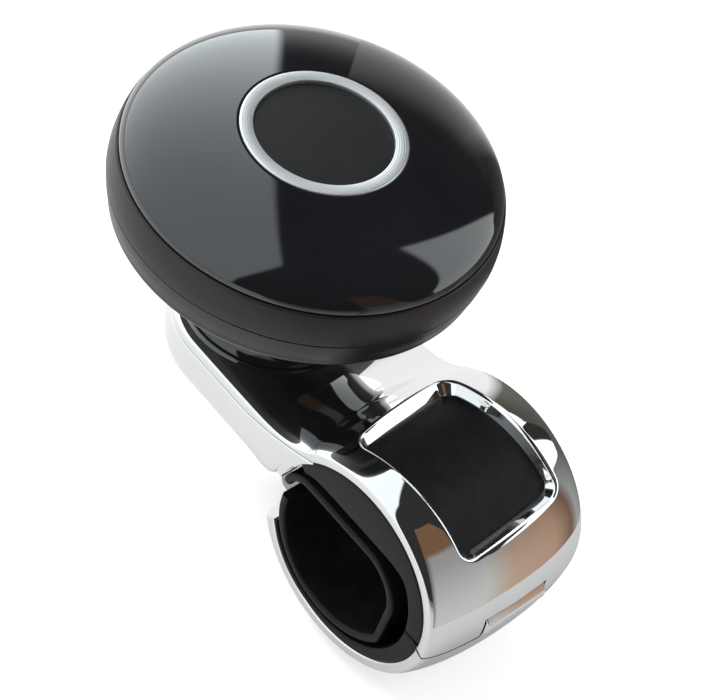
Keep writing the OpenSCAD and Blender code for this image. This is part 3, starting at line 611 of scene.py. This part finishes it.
def hinge_ears(skin):
    """Skin on both sides of the jaw's knuckle, the ears' cheeks, and the hollow behind it."""
    run_r, cheek = KNUCKLE_R + RUN_GAP, KNUCKLE_HALF + RUN_GAP
    for side in (-1, 1):
        ys = [y for y in YS if side * y >= cheek - TINY]
        skin.grid([down_to_hinge(y, SLOT_TOP, KNUCKLE_R, 20) for y in ys])
        y = side * cheek
        low = hinge_angle(skin_r(y), KNUCKLE_R, -1)
        skin.face([ring_point(a, y) for a in np.linspace(low, SLOT_TOP, 20)]
                  + round_hinge(y, run_r, hinge_bearing(skin_r(y), run_r, 1), 180)
                  + round_hinge(y, KNUCKLE_R, -180, hinge_bearing(skin_r(y), KNUCKLE_R, -1)))
    skin.grid([round_hinge(y, run_r, hinge_bearing(skin_r(y), run_r, 1), 180)
               for y in YS if abs(y) <= cheek + TINY])


def wall_levels(h):
    """(height over the seam, inset from the side) down a wall of height h and under it."""
    return [(h, 0), (0.6 * h, 0), (0.15, 0), (0.05, 0.05), (0, 0.18), (0, HALF)]


def arm_walls(skin, xs, ts):
    """Side walls of the arm, down to the seam, and the wall of the round end."""
    tops = [(x, ARM_TOP - ARM_CROWN, x) for x in xs]
    for t in ts:
        x, _, z = hollow_point(t, HALF)
        tops.append((x, z, mix(BLEND_X, JOIN[0], t)))
    for side in (-1, 1):
        rows = []
        for x1, z1, x0 in tops:
            z0 = seam(x0)
            h = math.hypot(x1 - x0, z1 - z0)
            ux, uz = (x1 - x0) / h, (z1 - z0) / h
            rows.append([(x0 + ux * q, side * (HALF - inset), z0 + uz * q)
                         for q, inset in wall_levels(h)])
        skin.grid(rows, flip=side > 0)
    profile = [(HALF - inset, SEAM_Z + q) for q, inset in wall_levels(ARM_TOP - ARM_CROWN - SEAM_Z)]
    skin.grid(revolve(profile, steps=60, a0=90, a1=270))


def clamp_body():
    skin = Skin()
    xs = np.linspace(KNOB_X, BLEND_X, 18)
    ts = np.linspace(0, 1, 44)[1:]
    arm_top(skin, xs, ts)
    ring_round_window(skin)
    hinge_ears(skin)
    low = hinge_angle(BAND_R, KNUCKLE_R, -1) + HINGE_CLEAR
    angles = [*np.linspace(low, EAR_FACES[0], 10), *np.linspace(EAR_FACES[1], BLEND_A, 100)]

    def bore(a):
        return SEAT_R if a >= EAR_FACES[1] else max(SEAT_R, min(BAND_R, hinge_cut(a, KNUCKLE_R)))

    end_rows(skin, angles, lambda a: BAND_R, bore)
    arm_walls(skin, xs, ts)
    return skin


clamp_body().piece("arm_and_ring", "clamp", "chrome", ["clamp_body"])


# Chrome cover under the arm, with the upper lip of the mouth

def under_curve(n):
    """The cover's lower line from the flat underside out to the mouth's lip."""
    mouth = (SEAT_R * cosd(MOUTH), SEAT_R * sind(MOUTH))
    lip = (mouth[0] - LIP_BACK[0], mouth[1] - LIP_BACK[1])
    flat = (lip[0] - LIP_RUN, COVER_Z)
    pts = [(mix(flat[0], lip[0], math.sin(b)), mix(flat[1], lip[1], 1 - math.cos(b)))
           for b in np.linspace(0, math.pi / 2, n)]
    pts += [(lip[0] + 0.25 * q, lip[1] + 0.03 * q * q) for q in (1, 2, 3)]
    return pts + [(mouth[0] - 0.3, mouth[1] - 0.2), mouth]


def cover_ring(top, low, bulge, edge):
    """Closed section from the seam at -Y down, across the underside and up to the seam at +Y."""
    top, low = np.array(top), np.array(low)
    line = top - low
    h = np.hypot(*line)
    normal = np.array([-line[1], line[0]]) / h
    edge = min(edge, 0.8 * h)
    chamfer, bend = 0.15, 0.04
    side = [(HALF - chamfer, h), (HALF - bend, h - chamfer)]
    side += [(HALF, q) for q in np.linspace(h - 2 * chamfer, edge, 14)]
    side += [(HALF - edge * (1 - cosd(b)), edge * (1 - sind(b)))
             for b in np.linspace(0, 90, 8)[1:]]
    pts = []
    for y, q in side:
        g = q / h
        p = low + line * g + normal * bulge * 4 * g * (1 - g)
        pts.append((p[0], y, p[1]))
    return [(x, -y, z) for x, y, z in pts] + pts[::-1]


def arm_cover():
    skin = Skin()
    curve = under_curve(18)
    flat_end = curve[0][0]
    rows = [cover_ring((x, seam(x) - SEAM_GAP), (x, COVER_Z), 0, COVER_EDGE)
            for x in np.linspace(KNOB_X, flat_end, 16)[:-1]]
    chord = math.hypot(curve[-1][0] - JOIN[0], curve[-1][1] - JOIN[1])
    sagitta = SEAT_R - math.sqrt(SEAT_R ** 2 - chord ** 2 / 4)
    for g, low in zip(np.linspace(0, 1, len(curve)), curve):
        x = mix(flat_end, JOIN[0], g)
        rows.append(cover_ring((x, seam(x) - SEAM_GAP), low, sagitta * g ** 3,
                               mix(COVER_EDGE, LIP_EDGE, g)))
    skin.grid(rows, closed=True)
    skin.fill(rows[-1])
    # round end about the knob's axis
    half = [(y, z) for _, y, z in rows[0][len(rows[0]) // 2:]][::-1]
    profile = [(0, half[0][1])] + half + [(0, half[-1][1])]
    skin.grid(revolve(profile, steps=60, a0=90, a1=270))
    return skin


cover = arm_cover().piece("arm_cover_shell", "clamp", "chrome", ["arm_cover"])
cut_holes(cover, [(x, y, COVER_Z - 1, COVER_Z + SCREW_HOLE_H, SCREW_HOLE_R) for x, y in SCREWS]
          + [(BOLT_X, 0, COVER_Z - 1, COVER_Z + BOLT_HOLE_H, BOLT_HOLE_R)])


# Chrome jaw: lower half of the ring

def jaw():
    skin = Skin()
    ys = across((KNUCKLE_HALF,))
    run_r = KNUCKLE_R + RUN_GAP
    skin.grid([[ring_point(a, y) for y in ys] for a in np.linspace(JAW_END, JAW_SPLIT, 110)])
    for side in (-1, 1):
        skin.grid([down_to_hinge(y, JAW_SPLIT, run_r, 8) for y in ys
                   if side * y >= KNUCKLE_HALF - TINY])
    top = hinge_angle(SHELL_R, KNUCKLE_R, -1) + KNUCKLE_LAP
    skin.grid([[ring_point(mix(JAW_SPLIT, top, g), y) for g in np.linspace(0, 1, 8)]
               for y in ys if abs(y) <= KNUCKLE_HALF + TINY])
    meet = hinge_angle(BAND_R, run_r, -1)
    ends = [*np.linspace(JAW_END, meet, 100), *np.linspace(meet + 0.05, JAW_TONGUE, 12)]
    end_rows(skin, ends, lambda a: max(SEAT_R, min(BAND_R, hinge_cut(a, run_r))), lambda a: SEAT_R)
    # the free end beside the mouth
    free = [ring_point(JAW_END, y) for y in ys]
    inner = [polar(SEAT_R, JAW_END, y) for y in ys]
    mid = [tuple((np.array(p) + np.array(q)) / 2) for p, q in zip(free, inner)]
    skin.grid([free, mid, inner], flip=True)
    # knuckle round the hinge pin
    edge = KNUCKLE_EDGE
    profile = [(0, KNUCKLE_HALF), (KNUCKLE_R - edge, KNUCKLE_HALF)]
    profile += [(KNUCKLE_R - edge * (1 - sind(b)), KNUCKLE_HALF - edge * (1 - cosd(b)))
                for b in QUARTER]
    profile += [(r, -y) for r, y in profile[::-1]]
    skin.grid([[(HINGE[0] + r * cosd(a), y, HINGE[1] + r * sind(a)) for r, y in profile]
               for a in np.linspace(0, 360, 73)])
    return skin


def jaw_lug():
    """Lug for the clamp bolt: round about the bolt, square where it meets the jaw."""
    skin = Skin()
    reach = LUG_ROOT_X - BOLT_X
    turns = np.linspace(0, 360, 97)[:-1]

    def outline(inset):
        w = LUG_HALF_W - inset
        pts = []
        for a in turns:
            c, s = float(cosd(a)), float(sind(a))
            square = min(reach / max(c, TINY), w / max(abs(s), TINY))
            r = square if c > 0 else w
            pts.append((BOLT_X + r * c, r * s))
        return pts

    bore = [(BOLT_X + LUG_HOLE_R * cosd(a), LUG_HOLE_R * sind(a)) for a in turns]
    rim = [(outline(LUG_EDGE * (1 - sind(b))), LUG_EDGE * (1 - cosd(b))) for b in (0, 30, 60, 90)]
    levels = [(bore, LUG_Z[0])] + [(pts, LUG_Z[0] + q) for pts, q in rim]
    levels += [(pts, LUG_Z[1] - q) for pts, q in rim[::-1]] + [(bore, LUG_Z[1]), (bore, LUG_Z[0])]
    skin.grid([[(x, y, z) for x, y in pts] for pts, z in levels], closed=True)
    return skin


jaw().piece("jaw_half_ring", "jaw", "chrome", ["jaw_shell"])
jaw_lug().piece("jaw_bolt_lug", "jaw", "chrome")


# Rubber: outlines in the XZ plane, drawn along Y with rounded rims

def rubber(name, body, node, outline, edge):
    """outline(inset) gives the loop moved inwards by inset."""
    rows = [[(x, -HALF + edge * (1 - cosd(b)), z) for x, z in outline(edge * (1 - sind(b)))]
            for b in np.linspace(0, 90, 7)]
    rows += [[(x, -y, z) for x, y, z in row] for row in rows[::-1]]
    skin = Skin()
    skin.grid(rows, closed=True)
    skin.fill(rows[0])
    skin.fill(rows[-1], flip=True)
    skin.piece(name, body, "rubber", [node], sharp=50)


def liner_outline(a0, a1):
    """Loop of a liner half: outside arc, then the bore off its centre with the flat roof."""
    def loop(inset):
        pad = math.degrees(inset / SEAT_R)
        outer, inner = [], []
        for a in np.linspace(a0 + pad, a1 - pad, 90):
            c, s = float(cosd(a)), float(sind(a))
            outside = SEAT_R - LINER_GAP - inset
            outer.append((outside * c, outside * s))
            off = c * LINER_C[0] + s * LINER_C[1]
            r = off + math.sqrt((LINER_BORE + inset) ** 2
                                - (LINER_C[0] ** 2 + LINER_C[1] ** 2 - off ** 2))
            if s > TINY:
                roof = (LINER_ROOF + inset) / s
                r = (r ** -LINER_POWER + roof ** -LINER_POWER) ** (-1 / LINER_POWER)
            r = min(r, outside - LINER_LEAST)
            inner.append((r * c, r * s))
        return outer + inner[::-1]
    return loop


def sleeve_line(d):
    """Line of the sleeve moved outwards by d: round below, with a flat roof."""
    (x0, r0), (x1, r1) = SLEEVE_CORNERS
    return (corner(*SLEEVE_C, SLEEVE_R + d, 176, 328, 70)
            + corner(x0, SLEEVE_ROOF - r0, r0 + d, -6, 90, 40)
            + corner(x1, SLEEVE_ROOF - r1, r1 + d, 90, 172, 24))


def sleeve_outline(inset):
    return sleeve_line(SLEEVE_T - inset) + sleeve_line(inset)[::-1]


rubber("liner_upper", "clamp", "upper_liner", liner_outline(*LINER_UPPER), LINER_EDGE)
rubber("liner_lower", "jaw", "jaw_liner", liner_outline(*LINER_LOWER), LINER_EDGE)
rubber("soft_sleeve", "jaw", "adaptor_sleeve", sleeve_outline, SLEEVE_EDGE)


# Knob and neck: profiles of (radius, height)

def dome_z(r):
    return DOME_Z + DOME_H * math.sqrt(max(0, 1 - (r / CAP_R) ** 2))


TOP = dome_z(ACCENT_R)                # height of the dome at the accent ring
SEAT_Z = TOP - ACCENT_H               # floor of the recess for ring and disc
INNER_R = ACCENT_R - ACCENT_W


def inset(r, z, points):
    """Points given as (inset from the radius r, height over z)."""
    return [(r - i, z + h) for i, h in points]


def cap_profile():
    lip = ACCENT_R + 0.14
    start = math.acos(lip / CAP_R)
    points = [(0, SEAT_Z), (ACCENT_R + 0.02, SEAT_Z)]
    points += inset(ACCENT_R, TOP, [(-0.02, -0.12), (-0.06, -0.04)]) + [(lip, dome_z(lip))]
    points += [(CAP_R * math.cos(b), dome_z(CAP_R * math.cos(b)))
               for b in np.linspace(start, 0, 72)[1:]]
    points += inset(CAP_R, CAP_Z, [(0.05, 0.1), (0.2, 0.03), (0.9, -0.25), (2.4, -0.3), (2.4, -2.4),
                                   (4.4, -2.4), (4.9, -1.4), (5.4, -0.4), (5.9, 0.6)])
    return points + [(0, SEAT_Z - 2.0)]


def skirt_profile():
    low_r = KNOB_R - SKIRT_EDGE_IN
    lower = [(low_r - SKIRT_EDGE * (1 - sind(a)), KNOB_Z + SKIRT_EDGE * (1 - cosd(a)))
             for a in np.linspace(0, 90, 12)]
    # up to the crease, over it and on to the seam with the cap
    middle = [lower[-1], (KNOB_R - 0.4, KNOB_Z + 0.34 * SKIRT_H)]
    middle += inset(KNOB_R, CREASE_Z, [(0.14, -0.35), (0.16, -0.14), (0.28, 0)])
    upper = inset(KNOB_R, CREASE_Z, [(0.28, 0), (0.1, 0.14), (0.02, 0.5), (0.08, 2.0), (0.35, 3.7)])
    upper += inset(KNOB_R, CAP_Z, [(0.72, -0.22)])
    points = [(SKIRT_BORE, KNOB_Z)] + lower + smooth_curve(middle)[1:] + smooth_curve(upper)[1:]
    points += inset(KNOB_R, CAP_Z, [(0.8, -0.08), (0.95, -0.02), (1.15, -0.06), (1.5, -0.2),
                                    (3.4, -0.4)])
    floor_z = KNOB_Z + SKIRT_FLOOR
    return points + [(KNOB_R - 3.45, floor_z), (SKIRT_BORE, floor_z), (SKIRT_BORE, KNOB_Z)]


def accent_profile():
    points = [(INNER_R, SEAT_Z), (ACCENT_R, SEAT_Z), (ACCENT_R, TOP - 0.05)]
    points += corner(ACCENT_R - ACCENT_EDGE, TOP - 0.05, ACCENT_EDGE, 0, 90, 5)
    points += inset(INNER_R, TOP, [(-0.2, 0.15), (-0.06, 0.1), (0, -0.02), (0, -0.3)])
    return points + [(INNER_R, SEAT_Z)]


def disc_profile():
    r, z = INNER_R - 0.05, TOP - DISC_SUNK
    points = [(0, SEAT_Z), (r, SEAT_Z), (r, z - 0.1), (r - 0.1, z)]
    return points + [(q, z + DISC_DOME * (1 - (q / r) ** 2)) for q in np.linspace(r - 0.25, 0, 12)]


def neck_profile():
    points = [(NECK_BORE, FOOT_Z), (FOOT_R, FOOT_Z), (FOOT_R, ARM_TOP + 0.3)]
    points += corner(FOOT_R - 0.2, ARM_TOP + 0.3, 0.2, 0, 70, 4)
    foot = FOOT_R - 0.14
    points += [(mix(foot, NECK_R, sind(b)), ARM_TOP + 0.5 + FOOT_FILLET * (1 - cosd(b)))
               for b in np.linspace(4, 90, 18)]
    points.append((NECK_R, NECK_TOP - NECK_EDGE))
    points += corner(NECK_R - NECK_EDGE, NECK_TOP - NECK_EDGE, NECK_EDGE, 0, 90, 6)[1:]
    return points + [(NECK_BORE, NECK_TOP), (NECK_BORE, FOOT_Z)]


for name, body, slot, node, profile, sharp, steps in (
        ("knob_dome", "knob", "gloss_black", "knob_cap", cap_profile(), 30, 192),
        ("knob_skirt_shell", "knob", "satin_black", "knob_skirt", skirt_profile(), 40, 192),
        ("accent_bezel", "knob", "accent", "accent_ring", accent_profile(), 30, 192),
        ("knob_disc", "knob", "disc_black", "centre_disc", disc_profile(), 30, 128),
        ("neck_turned", "clamp", "gloss_black", "neck_collar", neck_profile(), 30, 192)):
    turned = Skin()
    turned.grid(revolve(profile, steps=steps))
    turned.piece(name, body, slot, [node], sharp=sharp)


# Camera, from a fit to the circles and edges in the photograph

CAMERA_AT = (0.0873, -0.1622, 0.2364)
CAMERA_AZIMUTH, CAMERA_ELEVATION, CAMERA_ROLL = 34.06, 48.42, 19.95
CAMERA_LENS, CAMERA_SENSOR = 102.56, 36.0

scene = bpy.context.scene
camera_data = bpy.data.cameras.new("camera")
camera_data.sensor_width = CAMERA_SENSOR
camera_data.lens = CAMERA_LENS
camera_data.clip_start = 0.01
camera = bpy.data.objects.new("camera", camera_data)
scene.collection.objects.link(camera)
camera.matrix_world = (Matrix.Translation(CAMERA_AT)
                       @ Matrix.Rotation(math.radians(CAMERA_AZIMUTH), 4, "Z")
                       @ Matrix.Rotation(math.radians(90 - CAMERA_ELEVATION), 4, "X")
                       @ Matrix.Rotation(math.radians(CAMERA_ROLL), 4, "Z"))
scene.camera = camera


# Studio: floor, and a wall that only glossy surfaces show. Levels are of light, where 1 is white,
# and the bounds of ramps are in metres or shares of a direction.

FLOOR_Z = -21.5
FLOOR_REACH = 4000.0
FLOOR_COLOUR = 0.8
FLOOR_GLOW = 0.42               # added for the camera, so that the floor turns white but for shadow
FLOOR_NEAR, FLOOR_FAR = 0.55, 0.2   # painted shade: darker colours that glossy surfaces see off the lit side, by the distance
FLOOR_FADE = (0.03, 0.4)
FLOOR_LIT_SIDE = 120            # on the left of this azimuth they see it in full colour

WALL_R = 75.0
WALL_STEP = 2.0
# top edge as (azimuth, height), and colours as (azimuth, red, green, blue)
WALL_TOP = [(-19, 150), (6, 150), (12, 60), (20, 28), (52, 27), (62, 36), (72, 30), (86, 34),
            (94, 54), (117, 58), (123, 74), (152, 74)]
WALL_COLOURS = [(-19, 0.12, 0.12, 0.12), (-12, 0.50, 0.51, 0.50), (16, 0.50, 0.50, 0.48),
                (26, 0.44, 0.32, 0.24), (42, 0.40, 0.26, 0.18), (52, 0.17, 0.10, 0.07),
                (58, 0.32, 0.33, 0.33), (66, 0.24, 0.24, 0.23), (76, 0.13, 0.13, 0.11),
                (117, 0.13, 0.13, 0.11), (124, 0.85, 0.86, 0.86)]
WARM = (0.30, 0.17, 0.09, 1.0)  # strip along the wall's top on the right
WARM_FROM = (0.058, 0.07)


def grey(level):
    return (level, level, level, 1.0)


def staged(name, verts, faces, build):
    """Piece of the studio with its own shader, made by build from an empty node tree."""
    mesh = bpy.data.meshes.new(name)
    mesh.from_pydata([tuple(c * MM for c in v) for v in verts], [], faces)
    obj = bpy.data.objects.new(name, mesh)
    scene.collection.objects.link(obj)
    mat = bpy.data.materials.new(name)
    mat.use_nodes = True
    tree = Tree(mat.node_tree)
    tree.put(build(tree), tree.node("ShaderNodeOutputMaterial").inputs["Surface"])
    mesh.materials.append(mat)
    return obj


def floor_shader(tree):
    x, y, _ = tree.axes("Object")
    reach = tree.math("SQRT", tree.plus(tree.times(x, x), tree.times(y, y)))
    # painted shade: glossy rays see the floor darker with distance, but in full colour on its lit
    # side
    lit_side = tree.ramp(tree.beside(x, y, FLOOR_LIT_SIDE), -0.01, 0.02)
    fading = tree.tint(tree.ramp(reach, *FLOOR_FADE), grey(FLOOR_NEAR), grey(FLOOR_FAR))
    mirrored = tree.tint(lit_side, fading, grey(FLOOR_COLOUR))
    path = tree.node("ShaderNodeLightPath")
    to_camera = path.outputs["Is Camera Ray"]
    diffuse = tree.node("ShaderNodeBsdfDiffuse")
    tree.put(tree.tint(path.outputs["Is Glossy Ray"], grey(FLOOR_COLOUR), mirrored),
             diffuse.inputs["Color"])
    both = tree.node("ShaderNodeAddShader")
    tree.put(diffuse.outputs[0], both.inputs[0])
    tree.put(tree.emission(grey(FLOOR_GLOW), to_camera), both.inputs[1])
    return both.outputs[0]


def wall_shader(tree):
    x, y, z = tree.axes("Object")
    turn = tree.times(tree.math("ARCTAN2", y, x), 180 / math.pi)
    first, last = WALL_COLOURS[0][0], WALL_COLOURS[-1][0]
    colours = tree.node("ShaderNodeValToRGB")
    tree.put(tree.math("DIVIDE", tree.math("SUBTRACT", turn, float(first)), float(last - first)),
             colours.inputs["Fac"])
    stops = colours.color_ramp.elements
    for i, (a, *rgb) in enumerate(WALL_COLOURS):
        at = (a - first) / (last - first)
        stop = stops[i] if i < 2 else stops.new(at)
        stop.position = at
        stop.color = (*rgb, 1.0)
    colour = tree.tint(tree.ramp(z, *WARM_FROM), colours.outputs["Color"], WARM)
    # the wall darkens upwards, more so on its left part
    fade = tree.node("ShaderNodeMix", data_type="FLOAT")
    tree.put(tree.ramp(turn, 90.0, 118.0), fade.inputs["Factor"])
    tree.put(tree.ramp(z, -0.02, 0.06, 1.15, 0.6), fade.inputs["A"])
    tree.put(tree.ramp(z, 0.03, 0.074, 1.1, 0.1), fade.inputs["B"])
    return tree.emission(colour, fade.outputs["Result"])


def wall():
    turns = np.arange(WALL_TOP[0][0], WALL_TOP[-1][0] + 1, WALL_STEP)
    verts = []
    for a, top in zip(turns, np.interp(turns, *zip(*WALL_TOP))):
        x, y = WALL_R * float(cosd(a)), WALL_R * float(sind(a))
        verts += [(x, y, FLOOR_Z), (x, y, float(top))]
    faces = [(2 * i, 2 * i + 2, 2 * i + 3, 2 * i + 1) for i in range(len(turns) - 1)]
    obj = staged("wall", verts, faces, wall_shader)
    for way in ("camera", "diffuse", "shadow", "transmission", "volume_scatter"):
        setattr(obj, "visible_" + way, False)


staged("floor", [(x * FLOOR_REACH, y * FLOOR_REACH, FLOOR_Z)
                 for x, y in ((-1, -1), (1, -1), (1, 1), (-1, 1))], [(0, 1, 2, 3)], floor_shader)
wall()


# World: white background, and a studio of soft boxes for what is glossy

AMBIENT = 0.75                  # light that plain surfaces get from all round
DARK = 0.03                     # the studio between its boxes
PANEL_AZIMUTH = (136, 285)      # big soft box on the left, brightest low down at its right edge
PANEL_LEVEL, PANEL_GLOW = 1.1, 1.5
PANEL_TINT = (0.94, 1.02, 1.04)
BOX_AZIMUTH = (31, 83)          # smaller box behind on the right
BOX_EDGE = (0.37, -0.80, 0.45)  # normal of the slanting plane that it ends at above
BOX_COLOUR = (1.5, 1.6, 1.62, 1.0)
HAZE_AZIMUTH, HAZE = 95, 0.5    # faint light near the horizon between the two


def studio_world():
    world = bpy.data.worlds.new("studio")
    world.use_nodes = True
    sky = Tree(world.node_tree)
    dx, dy, dz = sky.axes("Generated")
    panel = sky.times(sky.ramp(sky.beside(dx, dy, PANEL_AZIMUTH[0]), 0.0, 0.03),
                      sky.ramp(sky.beside(dx, dy, PANEL_AZIMUTH[1]), 0.0, 0.04, 1.0, 0.0))
    glow = sky.times(sky.ramp(sky.beside(dx, dy, 190), -0.95, 0.75, 1.0, 0.0),
                     sky.ramp(dz, 0.3, 0.98, 1.0, 0.0))
    level = sky.plus(PANEL_LEVEL, sky.times(glow, PANEL_GLOW))
    panel_colour = sky.node("ShaderNodeCombineColor")
    for socket, share in zip(panel_colour.inputs, PANEL_TINT):
        sky.put(sky.times(level, share), socket)
    slant = [sky.times(d, k) for d, k in zip((dx, dy, dz), BOX_EDGE)]
    edge = sky.plus(sky.plus(slant[0], slant[1]), slant[2])
    box = sky.times(sky.ramp(sky.beside(dx, dy, BOX_AZIMUTH[1]), -0.02, 0.01, 1.0, 0.0),
                    sky.times(sky.ramp(sky.beside(dx, dy, BOX_AZIMUTH[0]), -0.02, 0.02),
                              sky.ramp(edge, -0.02, 0.02, 1.0, 0.0)))
    haze = sky.times(sky.ramp(sky.beside(dx, dy, HAZE_AZIMUTH), -0.1, 0.25),
                     sky.ramp(dz, 0.05, 0.42, 1.0, 0.0))
    studio = sky.tint(haze, grey(DARK), grey(HAZE))
    studio = sky.tint(box, studio, BOX_COLOUR)
    studio = sky.tint(panel, studio, panel_colour.outputs[0])
    path = sky.node("ShaderNodeLightPath")
    shiny = sky.math("MAXIMUM", path.outputs["Is Glossy Ray"], path.outputs["Is Transmission Ray"])
    seen = sky.tint(shiny, grey(AMBIENT), studio)
    background = sky.node("ShaderNodeBackground")
    sky.put(sky.tint(path.outputs["Is Camera Ray"], seen, grey(1.0)), background.inputs["Color"])
    sky.put(background.outputs[0], sky.node("ShaderNodeOutputWorld").inputs["Surface"])
    return world


scene.world = studio_world()


# Lamps: (name, azimuth, elevation, distance, size, watts, the only pieces that mirror it and are
# lit by it, or none for a lamp that lights all and is mirrored by none)

LAMPS = [("key", 200, 50, 0.9, 0.6, 5.0, ()),
         ("fill", 60, 40, 1.0, 0.6, 2.5, ()),
         ("arm_box", 122, 47, 0.5, 0.42, 0.62, ("arm_and_ring",))]


def soft_light(name, azimuth, elevation, distance, size, watts, only):
    """Square lamp aimed at the origin."""
    data = bpy.data.lights.new(name, "AREA")
    data.shape = "SQUARE"
    data.size = size
    data.energy = watts
    obj = bpy.data.objects.new(name, data)
    scene.collection.objects.link(obj)
    az, el = math.radians(azimuth), math.radians(elevation)
    away = distance * math.cos(el)
    obj.matrix_world = (Matrix.Translation((away * math.cos(az), away * math.sin(az),
                                            distance * math.sin(el)))
                        @ Matrix.Rotation(az + math.pi / 2, 4, "Z")
                        @ Matrix.Rotation(math.pi / 2 - el, 4, "X"))
    obj.visible_glossy = bool(only)
    obj.visible_camera = False
    if only:
        group = bpy.data.collections.new(name)
        for piece in only:
            group.objects.link(bpy.data.objects[piece])
        obj.light_linking.receiver_collection = group


for lamp in LAMPS:
    soft_light(*lamp)

scene.view_settings.view_transform = "Standard"
